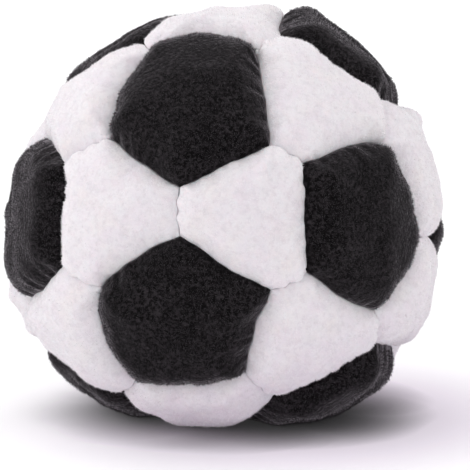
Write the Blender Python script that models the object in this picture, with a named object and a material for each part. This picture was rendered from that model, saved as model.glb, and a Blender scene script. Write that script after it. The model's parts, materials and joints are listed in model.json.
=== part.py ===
"""Footbag: a small hand-sewn ball of 32 soft panels filled with pellets.

Twelve black pentagons and twenty white hexagons are sewn edge to edge. Every panel is a
shell of napped cloth that puffs outward between its seams, and its seam allowance turns
inward behind the crease. One net of sewing thread runs between the allowances, and the
pellets fill the bag and swell into the hollow of every panel. The bag sits on the flat
foot that its own weight presses.

Units are metres and +Z is up. The origin lies on the plane of the flat foot, under the
middle of the bag.
"""

import math
from itertools import combinations

import bmesh
import bpy
from mathutils import Euler, Matrix, Vector

# Sizes of the whole bag
BAG_WIDTH = 0.0570
BAG_HEIGHT = 0.0554
PRESS_DEPTH = 0.0018
PRESS_REACH = 0.0015

# Sizes of the panels
FABRIC = 0.0010
BLACK_CROWN = 0.0021
WHITE_CROWN = 0.0018
SEAM_BOW = 0.0006

# Sizes of the seams
CREASE_GAP = 0.0003
SEAM_ALLOWANCE = 0.0030
STITCH_DEPTH = 0.0011
THREAD_DIAMETER = 0.0006
CLEARANCE = 0.0003

# How the panels are laid out and turned
CORNER_SHARE = 0.41
BAG_TURN = Euler((math.radians(1.3), math.radians(46.2), math.radians(-102.3)))

# Steps along a seam, and the rings that a panel's crown is lofted through
LONG_SEAM_STEPS = 3
SHORT_SEAM_STEPS = 2
OUTER_RING_SHARES = (0.07, 0.22, 0.50)
INNER_RING_SHARE = 0.40
ROUNDING_SHARE = 1.5
FOOT_CUT_SHARE = 0.5

# The sewn bag is fuller in some places than in others, in shares of its radius: eight
# places round its outline, seen from the front and anticlockwise from the right, and
# the front itself
OUTLINE_FULLNESS_SHARES = (-0.030, 0.034, 0.015, -0.010, 0.010, 0.045, -0.035, 0.065)
FRONT_FULLNESS_SHARE = -0.040
FULLNESS_FALLOFF = 4

# Hand sewing moves the corners of the black panels. A pair is the panel and the black
# neighbour that its corner points to, with the move to the right and up, seen from the
# front, in shares of the bag's radius. The far side wanders as the near side does.
CORNER_MOVE_SHARES = {
    (1, 2): (0.005, 0.025),
    (2, 1): (0.010, 0.005),
    (1, 3): (-0.010, -0.015),
    (3, 1): (-0.045, 0.010),
    (3, 2): (-0.005, 0.000),
    (2, 3): (0.020, 0.000),
    (1, 6): (0.045, -0.015),
    (6, 1): (-0.025, -0.005),
    (6, 2): (-0.020, -0.005),
    (2, 6): (0.020, 0.015),
    (1, 5): (-0.010, 0.110),
    (5, 1): (0.015, 0.045),
    (1, 4): (0.015, 0.070),
    (4, 1): (0.035, 0.220),
    (4, 5): (0.130, 0.000),
    (4, 3): (-0.010, 0.025),
    (3, 4): (-0.050, -0.040),
    (3, 8): (-0.200, -0.035),
    (8, 3): (-0.005, -0.025),
    (3, 7): (-0.015, -0.005),
    (7, 3): (0.030, 0.005),
    (7, 2): (0.010, -0.040),
    (2, 7): (0.010, 0.025),
    (2, 11): (-0.025, -0.050),
    (11, 2): (-0.020, -0.010),
    (6, 11): (-0.030, -0.005),
}

# How far a black panel's seam bows outward where hand sewing has left it straighter or
# rounder than the others: the panel and the two neighbours that the seam runs between, in
# shares of the bag's radius
SEAM_BOW_SHARES = {
    (1, 2, 3): 0.005,
    (1, 2, 6): 0.005,
    (1, 3, 4): 0.000,
    (1, 4, 5): 0.105,
    (1, 5, 6): 0.035,
    (2, 1, 3): 0.000,
    (2, 3, 7): -0.025,
    (2, 6, 11): 0.060,
    (3, 1, 2): 0.005,
}

# Sizes that follow from the ones above
BAG_RADIUS = BAG_WIDTH / 2
SQUASH = BAG_HEIGHT / BAG_WIDTH
CREASE_RADIUS = BAG_RADIUS - BLACK_CROWN
STITCH_RADIUS = CREASE_RADIUS - STITCH_DEPTH
RIM_RADIUS = CREASE_RADIUS - SEAM_ALLOWANCE
FILLING_RADIUS = RIM_RADIUS - CLEARANCE
CREASE_OFFSET = CREASE_GAP / 2
STITCH_OFFSET = THREAD_DIAMETER / 2 + CLEARANCE
FILLING_OFFSET = STITCH_OFFSET + FABRIC + CLEARANCE
WELD_DISTANCE = CLEARANCE / 100


def black_directions():
    """Directions of the twelve black panels: a pole, two rings of five and the far pole."""
    latitude = math.atan(0.5)
    step = math.tau / 5
    directions = [Vector((0, 0, 1))]
    for side, start in ((1, 0.0), (-1, step / 2)):
        for index in range(5):
            turn = start + index * step
            flat = math.cos(latitude)
            high = side * math.sin(latitude)
            directions.append(Vector((flat * math.cos(turn), flat * math.sin(turn), high)))
    directions.append(Vector((0, 0, -1)))
    return {number + 1: BAG_TURN.to_matrix() @ d for number, d in enumerate(directions)}


BLACK = black_directions()
OPPOSITE = {a: min(BLACK, key=lambda b: BLACK[a].dot(BLACK[b])) for a in BLACK}


def are_neighbours(a, b):
    """Black panels are neighbours when one short seam joins their nearest corners."""
    return a != b and BLACK[a].dot(BLACK[b]) > 0


def corner_move(a, b):
    """How far hand sewing has moved a corner, as a vector in shares of the radius."""
    if (a, b) in CORNER_MOVE_SHARES:
        right, up = CORNER_MOVE_SHARES[a, b]
        return Vector((right, 0, up))
    right, up = CORNER_MOVE_SHARES.get((OPPOSITE[a], OPPOSITE[b]), (0, 0))
    return Vector((-right, 0, -up))


def corner(a, b):
    """Direction of black panel a's corner towards its black neighbour b."""
    even = BLACK[a].lerp(BLACK[b], CORNER_SHARE).normalized()
    return (even + corner_move(a, b)).normalized()


def long_seam(a, b, c, steps):
    """Directions along black panel a's seam, from its corner at b to its corner at c."""
    start = corner(a, b)
    end = corner(a, c)
    bow = SEAM_BOW_SHARES.get((a, *sorted((b, c))), SEAM_BOW / CREASE_RADIUS)
    points = []
    for step in range(steps):
        share = step / steps
        middle = start.lerp(end, share)
        outward = (middle - BLACK[a]).normalized()
        points.append((middle + outward * bow * 4 * share * (1 - share)).normalized())
    return points


def short_seam(a, b, steps):
    """Directions along the white seam between the facing corners of black panels a and b."""
    start = corner(a, b)
    end = corner(b, a)
    return [start.lerp(end, step / steps).normalized() for step in range(steps)]


def seen_from_outside(directions):
    """The same outline, turned so that it runs anticlockwise seen from outside the bag."""
    following = directions[1:] + directions[:1]
    centre = sum(directions, Vector())
    area = sum((here.cross(after) for here, after in zip(directions, following)), Vector())
    return directions if area.dot(centre) > 0 else directions[::-1]


class Panel:
    """One panel's outline on the unit ball, with the directions that its rings follow."""

    def __init__(self, outline, crown):
        self.outline = seen_from_outside(outline)
        self.crown = crown
        self.centre = sum(self.outline, Vector()).normalized()
        self.inward = self.mitres()
        across = [p - self.centre * p.dot(self.centre) for p in self.outline]
        self.reach = [vector.length for vector in across]
        self.bearing = [vector.normalized() for vector in across]
        self.mean_reach = sum(self.reach) / len(self.reach)

    def mitres(self):
        """For each outline point, the step that lies one unit inside both of its seams."""
        points = self.outline
        following = points[1:] + points[:1]
        walls = [p.cross(q).normalized() for p, q in zip(points, following)]
        previous = walls[-1:] + walls[:-1]
        return [(u + v) / (1 + u.dot(v)) for u, v in zip(previous, walls)]

    def wall_ring(self, radius, offset):
        """Ring at a depth in the seam, an even distance inside the seam's middle."""
        return [p * radius + m * offset for p, m in zip(self.outline, self.inward)]

    def swell(self, share):
        """Height of the crown above the crease, from the seam at 0 to the middle at 1."""
        return self.crown * math.sqrt(1 - (1 - share) ** 3)

    def crown_ring(self, share, sink):
        """Ring of the crown, rounder the nearer it lies to the panel's middle."""
        radius = CREASE_RADIUS + self.swell(share) - sink
        roundness = min(1, share * ROUNDING_SHARE)
        ring = []
        for reach, bearing in zip(self.reach, self.bearing):
            out = (1 - share) * (reach + (self.mean_reach - reach) * roundness)
            ring.append((bearing * out + self.centre * math.sqrt(1 - out * out)) * radius)
        return ring

    def top(self, sink):
        """Middle point of the crown."""
        return self.centre * (CREASE_RADIUS + self.crown - sink)


def black_panel(a, long_steps):
    """The pentagon round black direction a."""
    around = [b for b in BLACK if are_neighbours(a, b)]
    side = corner(a, around[0]) - BLACK[a]
    across = BLACK[a].cross(side)
    around.sort(key=lambda b: math.atan2(BLACK[b].dot(across), BLACK[b].dot(side)) % math.tau)
    outline = []
    for b, c in zip(around, around[1:] + around[:1]):
        outline += long_seam(a, b, c, long_steps)
    return Panel(outline, BLACK_CROWN)


def white_panel(trio, long_steps, short_steps):
    """The hexagon between three black neighbours."""
    a, b, c = trio
    outline = []
    for here, before, after in ((a, b, c), (c, a, b), (b, c, a)):
        outline += long_seam(here, before, after, long_steps)
        outline += short_seam(here, after, short_steps)
    return Panel(outline, WHITE_CROWN)


WHITE_TRIOS = [
    trio
    for trio in combinations(BLACK, 3)
    if all(are_neighbours(a, b) for a, b in combinations(trio, 2))
]


def all_panels(long_steps, short_steps):
    """Every panel of the bag by name."""
    panels = {f"black_panel_{a:02d}": black_panel(a, long_steps) for a in BLACK}
    for number, trio in enumerate(WHITE_TRIOS, 1):
        panels[f"white_panel_{number:02d}"] = white_panel(trio, long_steps, short_steps)
    return panels


def fullness(direction):
    """How much fuller than an even ball the bag is in a direction, as a factor."""
    factor = 1 + FRONT_FULLNESS_SHARE * max(0, -direction.y) ** FULLNESS_FALLOFF
    for index, share in enumerate(OUTLINE_FULLNESS_SHARES):
        turn = math.tau * index / len(OUTLINE_FULLNESS_SHARES)
        facing = direction.x * math.cos(turn) + direction.z * math.sin(turn)
        factor += share * max(0, facing) ** FULLNESS_FALLOFF
    return factor


def settled(point):
    """Where a point of the even ball lies once the bag is filled, used and set down."""
    direction = point.normalized()
    factor = fullness(direction)
    moved = point * factor
    moved.z *= SQUASH
    low = (1 + direction.z * factor) * BAG_HEIGHT / 2 - PRESS_DEPTH
    pressed = (low + math.sqrt(low * low + PRESS_REACH * PRESS_REACH)) / 2
    moved.z += pressed - low
    return moved


def loft(rings, first_tip, last_tip):
    """Closed body through rings of equal count, shut at each end by a fan to a point."""
    bm = bmesh.new()
    loops = add_loops(bm, rings)
    fan(bm, loops[0], bm.verts.new(settled(first_tip)))
    fan(bm, loops[-1], bm.verts.new(settled(last_tip)))
    bmesh.ops.recalc_face_normals(bm, faces=bm.faces)
    return bm


def add_loops(bm, rings):
    """Loops of vertices for rings of the even ball, joined by strips of quads."""
    loops = [[bm.verts.new(settled(point)) for point in ring] for ring in rings]
    for lower, upper in zip(loops, loops[1:]):
        join_loops(bm, lower, upper)
    return loops


def welded(bm):
    """The same mesh with the points that neighbouring panels share made one."""
    bmesh.ops.remove_doubles(bm, verts=bm.verts, dist=WELD_DISTANCE)
    bmesh.ops.recalc_face_normals(bm, faces=bm.faces)
    return bm


def join_loops(bm, lower, upper):
    """A strip of quads between two closed loops of equal count."""
    count = len(lower)
    for index in range(count):
        after = (index + 1) % count
        bm.faces.new((lower[index], lower[after], upper[after], upper[index]))


def fan(bm, loop, tip):
    """A fan of triangles from a closed loop to one point."""
    for here, after in zip(loop, loop[1:] + loop[:1]):
        bm.faces.new((here, after, tip))


def finished(name, bm, material, parent):
    """A smooth-shaded object from a bmesh."""
    mesh = bpy.data.meshes.new(name)
    bm.to_mesh(mesh)
    bm.free()
    mesh.shade_smooth()
    mesh.set_sharp_from_angle(angle=math.radians(60))
    mesh.materials.append(material)
    body = bpy.data.objects.new(name, mesh)
    body.parent = parent
    bpy.context.scene.collection.objects.link(body)
    return body


def material(name, colour, roughness):
    """A plain finish."""
    finish = bpy.data.materials.new(name)
    finish.use_nodes = True
    shader = finish.node_tree.nodes["Principled BSDF"]
    shader.inputs["Base Color"].default_value = (*colour, 1)
    shader.inputs["Roughness"].default_value = roughness
    shader.inputs["Metallic"].default_value = 0
    return finish


def panel_body(panel):
    """A panel of cloth: its crown, the crease round it and the allowance turned inward."""
    outer = [panel.crown_ring(share, 0) for share in reversed(OUTER_RING_SHARES)]
    outer.append(panel.wall_ring(CREASE_RADIUS, CREASE_OFFSET))
    outer.append(panel.wall_ring(STITCH_RADIUS, STITCH_OFFSET))
    outer.append(panel.wall_ring(RIM_RADIUS, STITCH_OFFSET))
    inner = [
        panel.wall_ring(RIM_RADIUS, STITCH_OFFSET + FABRIC),
        panel.wall_ring(CREASE_RADIUS, CREASE_OFFSET + FABRIC),
        panel.crown_ring(INNER_RING_SHARE, FABRIC),
    ]
    return loft(outer + inner, panel.top(0), panel.top(FABRIC))


def filling_body(panels):
    """The pellets as one body: a ball that swells into the hollow of every panel."""
    bm = bmesh.new()
    sink = FABRIC + CLEARANCE
    for panel in panels:
        rings = [
            panel.wall_ring(FILLING_RADIUS, 0),
            panel.wall_ring(FILLING_RADIUS, FILLING_OFFSET),
            panel.wall_ring(CREASE_RADIUS - CLEARANCE, FILLING_OFFSET),
            panel.crown_ring(INNER_RING_SHARE, sink),
        ]
        loops = add_loops(bm, rings)
        fan(bm, loops[-1], bm.verts.new(settled(panel.top(sink))))
    return welded(bm)


def thread_body(panels):
    """The sewing thread: a four-sided net along the middle of every seam."""
    bm = bmesh.new()
    radius = THREAD_DIAMETER / 2
    for panel in panels:
        rings = [
            panel.wall_ring(STITCH_RADIUS + radius, 0),
            panel.wall_ring(STITCH_RADIUS, radius),
            panel.wall_ring(STITCH_RADIUS - radius, 0),
        ]
        add_loops(bm, rings)
    return welded(bm)


def cut_foot(bodies):
    """Cut the foot flat: the panels' lowest cloth is taken off by a share of its thickness."""
    lowest = min(v.co.z for body in bodies for v in body.data.vertices)
    foot = lowest + FABRIC * FOOT_CUT_SHARE
    for body in bodies:
        if min(v.co.z for v in body.data.vertices) >= foot:
            continue
        bm = bmesh.new()
        bm.from_mesh(body.data)
        geometry = bm.verts[:] + bm.edges[:] + bm.faces[:]
        cut = bmesh.ops.bisect_plane(
            bm, geom=geometry, plane_co=(0, 0, foot), plane_no=(0, 0, -1), clear_outer=True
        )
        rim = [item for item in cut["geom_cut"] if isinstance(item, bmesh.types.BMEdge)]
        bmesh.ops.contextual_create(bm, geom=rim)
        bmesh.ops.recalc_face_normals(bm, faces=bm.faces)
        bm.to_mesh(body.data)
        bm.free()
    return foot


def main():
    for old in list(bpy.data.objects):
        bpy.data.objects.remove(old)
    frame = bpy.data.objects.new("footbag", None)
    bpy.context.scene.collection.objects.link(frame)

    black = material("black_suede", (0.012, 0.011, 0.013), 0.95)
    white = material("white_suede", (0.80, 0.78, 0.79), 0.95)
    thread = material("sewing_thread", (0.55, 0.52, 0.52), 0.70)
    pellets = material("pellets", (0.62, 0.60, 0.55), 0.50)

    sewn = all_panels(LONG_SEAM_STEPS, SHORT_SEAM_STEPS)
    cloth = []
    for name, panel in sewn.items():
        colour = black if name.startswith("black") else white
        cloth.append(finished(name, panel_body(panel), colour, frame))
    filled = all_panels(LONG_SEAM_STEPS, 1)
    inside = [
        finished("seam_thread", thread_body(sewn.values()), thread, frame),
        finished("pellet_filling", filling_body(filled.values()), pellets, frame),
    ]

    foot = cut_foot(cloth)
    points = [v.co for body in cloth for v in body.data.vertices]
    middle_x = (min(p.x for p in points) + max(p.x for p in points)) / 2
    middle_y = (min(p.y for p in points) + max(p.y for p in points)) / 2
    for body in cloth + inside:
        body.data.transform(Matrix.Translation((-middle_x, -middle_y, -foot)))


main()
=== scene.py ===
"""Looks of the footbag: 32 puffed suede panels, their nap, the sewing thread and the pellets.

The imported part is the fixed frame. Every panel is sewn again here as fine cloth on the same
layout, blown up between its seams by a cloth simulation, given its thickness and its nap,
and placed where the part's own panel lies. Metres, +Z up.
"""

import json
import math
from itertools import combinations

import bmesh
import bpy
import numpy as np
from bpy.props import FloatProperty, FloatVectorProperty, PointerProperty
from mathutils import Euler, Matrix, Vector, noise
from mathutils.kdtree import KDTree

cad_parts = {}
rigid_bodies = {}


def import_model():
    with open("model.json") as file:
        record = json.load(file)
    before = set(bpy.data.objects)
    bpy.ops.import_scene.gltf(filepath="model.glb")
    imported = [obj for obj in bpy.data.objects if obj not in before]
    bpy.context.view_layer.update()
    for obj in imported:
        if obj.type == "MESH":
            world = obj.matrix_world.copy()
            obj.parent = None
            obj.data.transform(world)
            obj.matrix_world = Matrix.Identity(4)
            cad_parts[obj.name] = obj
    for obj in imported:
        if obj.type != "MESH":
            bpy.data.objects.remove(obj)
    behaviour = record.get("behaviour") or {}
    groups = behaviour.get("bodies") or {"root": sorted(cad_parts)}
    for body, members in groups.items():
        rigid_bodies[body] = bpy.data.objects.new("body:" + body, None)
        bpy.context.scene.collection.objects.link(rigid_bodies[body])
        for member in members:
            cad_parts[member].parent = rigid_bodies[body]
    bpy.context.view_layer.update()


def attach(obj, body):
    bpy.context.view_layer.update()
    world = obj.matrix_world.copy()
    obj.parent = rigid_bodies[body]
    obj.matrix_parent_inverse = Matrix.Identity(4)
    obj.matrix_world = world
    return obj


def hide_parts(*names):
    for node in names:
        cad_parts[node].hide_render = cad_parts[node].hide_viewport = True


bl_info = {
    "name": "Footbag looks",
    "version": (1, 0, 0),
    "blender": (4, 5, 0),
    "location": "View3D > Sidebar > Footbag",
    "description": "Sews, fills and finishes the panels of a 32-panel footbag",
    "category": "Object",
}

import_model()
MILLIMETRES = 1000
BODY = "root"

# Black panels in each of the two rings between the bag's poles, and the rings' latitude
RING_PANELS = 5
RING_LATITUDE = math.atan(0.5)

# The layout of the panels: how far the corners lie towards the next black panel, how the
# whole pattern is turned, and how hand sewing has moved each corner, to the right and up
# seen from the front, in shares of the bag's radius. The far side wanders as the near does.
CORNER_SHARE = 0.41
BAG_TURN = Euler((math.radians(1.3), math.radians(46.2), math.radians(-102.3)))
CORNER_MOVE_SHARES = {
    (1, 2): (0.005, 0.025),
    (2, 1): (0.010, 0.005),
    (1, 3): (-0.010, -0.015),
    (3, 1): (-0.045, 0.010),
    (3, 2): (-0.005, 0.000),
    (2, 3): (0.020, 0.000),
    (1, 6): (0.045, -0.015),
    (6, 1): (-0.025, -0.005),
    (6, 2): (-0.020, -0.005),
    (2, 6): (0.020, 0.015),
    (1, 5): (-0.010, 0.110),
    (5, 1): (0.015, 0.045),
    (1, 4): (0.015, 0.070),
    (4, 1): (0.035, 0.220),
    (4, 5): (0.130, 0.000),
    (4, 3): (-0.010, 0.025),
    (3, 4): (-0.050, -0.040),
    (3, 8): (-0.200, -0.035),
    (8, 3): (-0.005, -0.025),
    (3, 7): (-0.015, -0.005),
    (7, 3): (0.030, 0.005),
    (7, 2): (0.010, -0.040),
    (2, 7): (0.010, 0.025),
    (2, 11): (-0.025, -0.050),
    (11, 2): (-0.020, -0.010),
    (6, 11): (-0.030, -0.005),
}

# How far each black panel's seam bows outward where it isn't the usual bow: the panel and
# the two neighbours that its seam runs between, in shares of the bag's radius
SEAM_BOW_SHARES = {
    (1, 2, 3): 0.005,
    (1, 2, 6): 0.005,
    (1, 3, 4): 0.000,
    (1, 4, 5): 0.105,
    (1, 5, 6): 0.035,
    (2, 1, 3): 0.000,
    (2, 3, 7): -0.025,
    (2, 6, 11): 0.060,
    (3, 1, 2): 0.005,
}

# How much more than the others these panels bulge
FULLER_PANELS = {"black_panel_01": 0.0004}

# Where the bag is fuller than an even ball: eight places round its outline, seen from the
# front and anticlockwise from the right, and the front itself
OUTLINE_FULLNESS_SHARES = (-0.050, 0.032, 0.016, -0.018, -0.002, 0.038, -0.040, 0.054)
FRONT_FULLNESS_SHARE = -0.040
FULLNESS_FALLOFF = 4

# Smaller places on the outline that the photo shows, where the cloth stands out or sinks in:
# degrees anticlockwise from the right, the share of the radius and the falloff. The photo
# looks down a little and from near by, so its outline lies in a plane that tilts and leans.
OUTLINE_BULGES = (
    (8, 0.028, 50),
    (24, -0.028, 200),
    (32, 0.034, 300),
    (43, -0.031, 50),
    (67, 0.012, 200),
    (74, 0.058, 200),
    (90, -0.015, 50),
    (120, -0.018, 200),
    (135, -0.020, 200),
    (150, -0.014, 50),
    (176, -0.022, 50),
    (196, 0.042, 120),
    (213, 0.012, 300),
    (222, -0.024, 200),
    (238, -0.014, 50),
    (321, -0.020, 100),
    (333, 0.008, 100),
    (355, -0.020, 200),
)
OUTLINE_TILT = math.radians(10)
OUTLINE_LEAN = math.radians(4)

# Rows of cloth across half a long seam and half a short seam, and how much closer the rows
# lie near the seams
LONG_ROWS = 16
SHORT_ROWS = 11
ROW_CROWDING = 0.7

# How softly an allowance turns at a panel's corner, in shares of its gap
CORNER_SOFTNESS = 0.5

# How soon a panel's swell, a lap and a white seam's rise fade towards the seam or its ends:
# the higher, the nearer to them
SWELL_FADE = 3
LAP_FADE = 3
RISE_FADE = 4

# Decimals to which two patches agree on a point that they share, how often a point is moved
# back to its own side of both seams, and a length to which a still point's move is rounded up
MERGE_DIGITS = 7
WALL_ROUNDS = 3
TINY = 1e-9

# The wander of the sewing, the lumps and the dents come from noise with this seed
WEAR_SEED = 11

# How much the corner ridges differ from each other, and the stitches' distances
RIDGE_UNEVENNESS = 1.6
STITCH_UNEVENNESS = 0.35

# Fibres of the nap: sides, shortest and longest as shares of their length, the factor that
# brings the noise's swing to about one, and what sets the random draws of a fibre apart
FIBRE_SIDES = 3
FIBRE_LENGTH_SHARES = (0.6, 1.3)
NOISE_GAIN = 4.0
TONE_SEED_STEP = 1000.0
SPIN_SEED_STEP = 7.0
SIZE_SEED_STEP = 13.0

# How bright a fibre's darker places are, and how far its tone goes towards that
FIBRE_SHADE = 0.7
FIBRE_SHADE_SHARE = 0.3

# The thread's points on a stitch and its sides, a pellet's segments and rings, and the least
# and most that a pellet measures each way, in shares of its width
STITCH_POINTS = 8.0
THREAD_SIDES = 6
PELLET_FACES = (6, 4)
PELLET_SHARES = ((0.85, 0.85, 0.65), (1.0, 1.0, 0.9))

# The simulation works on an enlarged bag, because the solver suits larger cloth
SIM_SCALE = 100
SIM_FRAMES = 18
SOLVER = {
    "quality": 5,
    "mass": 0.3,
    "pin_stiffness": 1.0,
    "tension_stiffness": 25,
    "compression_stiffness": 25,
    "shear_stiffness": 10,
    "bending_stiffness": 4,
    "tension_damping": 10,
    "compression_damping": 10,
    "shear_damping": 10,
    "bending_damping": 2,
    "air_damping": 4,
}


def length_setting(name, description, default):
    """A size in metres that the user may change."""
    return FloatProperty(name=name, description=description, default=default, unit="LENGTH")


def angle_setting(name, description, degrees):
    """An angle that the user may change."""
    return FloatProperty(name=name, description=description, default=math.radians(degrees), unit="ROTATION")


def number_setting(name, description, default):
    """A plain number, such as a share or a strength, that the user may change."""
    return FloatProperty(name=name, description=description, default=default)


def colour_setting(name, description, default):
    """A colour that the user may change."""
    return FloatVectorProperty(name=name, description=description, default=default, subtype="COLOR")


class FootbagShape(bpy.types.PropertyGroup):
    """Shape of the bag as a whole"""

    width: length_setting("Width", "Width of the even bag over its black panels", 0.0570)
    height: length_setting("Height", "Height of the even bag before its foot is pressed", 0.0554)
    centre: FloatVectorProperty(
        name="Centre",
        description="Middle of the even bag above the surface it rests on",
        default=(0.0003, -0.0005, 0.0245),
        subtype="XYZ",
        unit="LENGTH",
    )
    black_crown: length_setting("Black crown", "How far a black panel bulges between its seams", 0.0005)
    white_crown: length_setting("White crown", "How far a white panel bulges between its seams", 0.0003)
    lip: length_setting("Lip", "Height of the cloth's roll next to a seam", 0.0010)
    lip_reach: length_setting("Lip reach", "How far from the seam that roll rises", 0.0010)
    crease_depth: length_setting("Crease depth", "Depth of the seams below the even ball", 0.0019)
    press_depth: length_setting("Foot depth", "How deep the bag's own weight presses the foot", 0.0018)
    press_reach: length_setting("Foot rounding", "How softly the cloth rounds into the foot", 0.0015)
    foot_lift: length_setting("Foot rim", "Softness of the flat foot's rim", 0.0002)


class FootbagSeams(bpy.types.PropertyGroup):
    """Seams between the panels"""

    bow: length_setting("Bow", "How far a long seam bows away from its black panel", 0.0006)
    gap: length_setting("Gap", "Gap between two panels down in the crease", 0.00003)
    lean: number_setting("Lean", "How far a white panel hangs over a black one for its height", 0.25)
    lap: number_setting("Lap", "How far one white panel hangs over the next for its height", 0.8)
    over_reach: length_setting("Upper lip", "How far from the seam the upper white panel rises", 0.00055)
    under_reach: length_setting("Lower lip", "How far from the seam the one below it slopes", 0.0022)
    throat: length_setting("Throat", "Depth below the crease over which two panels touch", 0.0003)
    white_rise: length_setting("White rise", "How much shallower the seams between white panels are", 0.0004)
    wander: length_setting("Wander", "How far hand sewing strays to the side", 0.00042)
    wander_length: length_setting("Wander length", "Length over which the sewing strays", 0.0032)
    stitch_pitch: length_setting("Stitch pitch", "Distance between two stitches", 0.0022)
    stitch_pull: length_setting("Stitch pull", "How deep a stitch pulls the cloth at the seam", 0.00028)
    pucker_reach: length_setting("Pucker reach", "How far from the seam a stitch's pucker runs", 0.0010)
    stitch_depth: length_setting("Stitch depth", "Depth of the thread below the crease", 0.0011)
    allowance: length_setting("Allowance", "Width of the seam allowance turned inward", 0.0030)
    allowance_gap: length_setting("Allowance gap", "Half the room for the thread between allowances", 0.0006)
    thread: length_setting("Thread", "Thickness of the sewing thread", 0.0005)
    swing: length_setting("Swing", "How far the thread swings from side to side", 0.00025)


class FootbagFilling(bpy.types.PropertyGroup):
    """Pellets that fill the bag"""

    pellet: length_setting("Pellet", "Width of a plastic pellet", 0.0028)
    spacing: length_setting("Spacing", "Distance between two pellets", 0.0030)
    stray: length_setting("Stray", "How far pellets lie from even rows", 0.0007)
    stray_length: length_setting("Stray length", "Length over which that changes", 0.0080)
    clearance: length_setting("Clearance", "Room between the pellets and the cloth", 0.0002)


class FootbagCloth(bpy.types.PropertyGroup):
    """Cloth of the panels and what the filling does to it"""

    thickness: length_setting("Thickness", "Thickness of the cloth", 0.0010)
    pressure: number_setting("Pressure", "How hard the filling presses the cloth outward", 12.0)
    slack: number_setting("Slack", "Share by which the cloth is larger than its sewn panel", 0.04)
    most_move: length_setting("Most move", "Most that the filling may move a point of the cloth", 0.0006)
    lump: length_setting("Lump", "Height of the lumps that the pellets press into the cloth", 0.00021)
    lump_length: length_setting("Lump length", "Width of those lumps", 0.0030)
    dent: length_setting("Dent", "Depth of the broad dents of use", 0.00045)
    dent_length: length_setting("Dent length", "Width of those dents", 0.0075)
    ridge: length_setting("Ridge", "Height of the fold from a panel's corner to its middle", 0.00034)
    ridge_width: number_setting("Ridge width", "Width of that fold in shares of the panel", 0.22)


class FootbagColours(bpy.types.PropertyGroup):
    """Colours of the cloth, the thread and the pellets"""

    # Black and Black nap: the ground shows between the clumps of nap, partly as the cloth's own darker tone
    # and partly as painted shade in the gaps
    black: colour_setting("Black", "Ground of the black cloth", (0.0012, 0.0010, 0.0011))
    black_nap: colour_setting("Black nap", "Tips of the black nap", (0.0255, 0.0217, 0.0244))
    black_fibre: colour_setting("Black fibre", "Loose fibres of the black nap", (0.036, 0.0320, 0.0358))
    black_fleck: colour_setting("Fleck", "Pale fibres in the black cloth", (0.070, 0.063, 0.068))
    white: colour_setting("White", "Ground of the white cloth", (0.88, 0.84, 0.868))
    white_rose: colour_setting("Lavender", "Cool mottling of the white cloth", (0.862, 0.800, 0.848))
    white_warm: colour_setting("Warm", "Warm mottling of the white cloth", (0.88, 0.83, 0.825))
    # White shade is painted shade: the white cloth darkens towards it in a grain the size of the nap's
    # clumps, standing in for the shade among them
    white_shade: colour_setting("White shade", "White cloth between its clumps of nap", (0.73, 0.680, 0.717))
    white_fibre: colour_setting("White fibre", "Loose fibres of the white nap", (0.95, 0.925, 0.945))
    thread: colour_setting("Thread", "Waxed thread", (0.55, 0.52, 0.52))
    # Thread shade is painted shade between the twisted strands
    thread_shade: colour_setting("Thread shade", "Between the twisted strands", (0.36, 0.33, 0.33))
    pellet: colour_setting("Pellet", "Plastic pellets", (0.62, 0.60, 0.55))
    pellet_dull: colour_setting("Dull pellet", "Darker plastic among them", (0.50, 0.48, 0.43))


class FootbagNap(bpy.types.PropertyGroup):
    """Fibres of the nap"""

    density: number_setting("Density", "Fibres on a square metre of cloth", 2.0e7)
    pale_share: number_setting("Pale share", "Share of the fibres with the second tone", 0.12)
    length: length_setting("Length", "Length of a black fibre", 0.00034)
    white_length: length_setting("White length", "Length of a white fibre", 0.00026)
    width: length_setting("Width", "Width of a fibre at its root", 0.00006)
    lean: number_setting("Lean", "How far clumps of nap lean over", 1.4)
    clump: length_setting("Clump", "Width of a clump of nap", 0.0009)
    bare_edge: length_setting("Bare edge", "Width without nap along a seam", 0.0004)


class FootbagStage(bpy.types.PropertyGroup):
    """Floor, light and camera"""

    elevation: angle_setting("Elevation", "Height of the camera above the horizon", 10)
    distance: length_setting("Distance", "Distance from the camera to the bag's middle", 0.399)
    lamp_spread: angle_setting("Lamp spread", "Width of a lamp seen from the bag", 60)
    surround: number_setting("Surround", "Strength of the light from all round", 0.55)
    floor: colour_setting("Floor", "Pale surface that the bag stands on", (0.93, 0.925, 0.935))
    floor_shade: colour_setting("Floor shade", "The floor's tone in the bag's shade", (0.94, 0.85, 0.965))
    floor_lift: number_setting("Floor lift", "How much whiter than it is lit the floor is seen", 0.26)
    contact_reach: length_setting("Contact reach", "How near the bag shades the floor most", 0.0082)
    contact_depth: number_setting("Contact depth", "How deep that shade is", 1.1)
    shade_reach: length_setting("Shade reach", "How far from the bag the floor is shaded at all", 0.026)
    shade_depth: number_setting("Shade depth", "How deep that wide shade is", 0.4)
    bag_width_px: number_setting("Bag in the picture", "Width of the even bag in picture points", 440.4)
    bag_centre_px: FloatVectorProperty(
        name="Centre in the picture",
        description="Place of the bag's middle, from the top left",
        size=2,
        default=(225.8, 223.0),
    )


# The photograph's frame in picture points, and the camera's sensor in millimetres
PICTURE = 470
SENSOR = 36.0

# How far the floor reaches each way, and how many times nearer and farther than the bag the
# camera still sees
FLOOR_REACH = 4.0
SIGHT_RATIO = 100

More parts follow.
